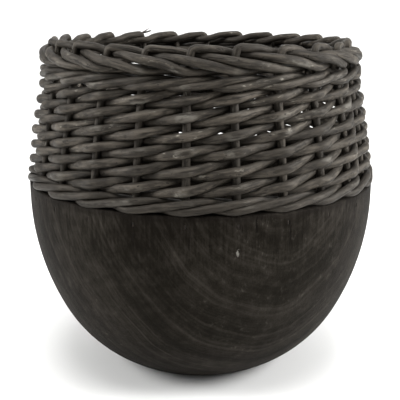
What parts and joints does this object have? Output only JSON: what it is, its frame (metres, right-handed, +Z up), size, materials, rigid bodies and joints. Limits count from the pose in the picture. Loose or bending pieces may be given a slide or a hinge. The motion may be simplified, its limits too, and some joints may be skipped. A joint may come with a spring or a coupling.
{
  "type": "fruit basket",
  "caption": "Fruit basket: a turned dark wooden bowl whose rim holds willow stakes, with a slanting woven wall, rope-like wales and a rolled border above.",
  "frame": {"origin": "centre of the bowl's flat base, on the surface it stands on", "axes": "+Z up along the bowl's turning axis; -Y towards the front, where the first stake stands; +X to the right seen from the front"},
  "size_m": [0.2774, 0.2774, 0.2628],
  "materials": {
    "bowl_wood": "matt dark stain",
    "stake_willow": "weathered grey-brown willow",
    "weaver_willow": "weathered grey-brown willow",
    "wale_willow": "weathered grey-brown willow",
    "brad_steel": "blackened steel"
  },
  "bodies": {
    "root": {"bowl": "bowl_wood", "brads": "brad_steel", "stake_01": "stake_willow", "stake_02": "stake_willow", "stake_03": "stake_willow", "stake_04": "stake_willow", "stake_05": "stake_willow", "stake_06": "stake_willow", "stake_07": "stake_willow", "stake_08": "stake_willow", "stake_09": "stake_willow", "stake_10": "stake_willow", "stake_11": "stake_willow", "stake_12": "stake_willow", "stake_13": "stake_willow", "stake_14": "stake_willow", "stake_15": "stake_willow", "stake_16": "stake_willow", "stake_17": "stake_willow", "stake_18": "stake_willow", "stake_19": "stake_willow", "stake_20": "stake_willow", "stake_21": "stake_willow", "stake_22": "stake_willow", "stake_23": "stake_willow", "stake_24": "stake_willow", "weaver_01": "weaver_willow", "weaver_02": "weaver_willow", "weaver_03": "weaver_willow", "weaver_04": "weaver_willow", "weaver_05": "weaver_willow", "weaver_06": "weaver_willow", "weaver_07": "weaver_willow", "weaver_08": "weaver_willow", "weaver_09": "weaver_willow", "weaver_10": "weaver_willow", "weaver_11": "weaver_willow", "weaver_12": "weaver_willow", "weaver_13": "weaver_willow", "weaver_14": "weaver_willow", "weaver_15": "weaver_willow", "weaver_16": "weaver_willow", "weaver_17": "weaver_willow", "weaver_18": "weaver_willow", "weaver_19": "weaver_willow", "weaver_20": "weaver_willow", "weaver_21": "weaver_willow", "weaver_22": "weaver_willow", "weaver_23": "weaver_willow", "weaver_24": "weaver_willow", "lower_wale_rod_1": "wale_willow", "lower_wale_rod_2": "wale_willow", "lower_wale_rod_3": "wale_willow", "upper_wale_rod_1": "wale_willow", "upper_wale_rod_2": "wale_willow", "upper_wale_rod_3": "wale_willow"}
  },
  "joints": []
}
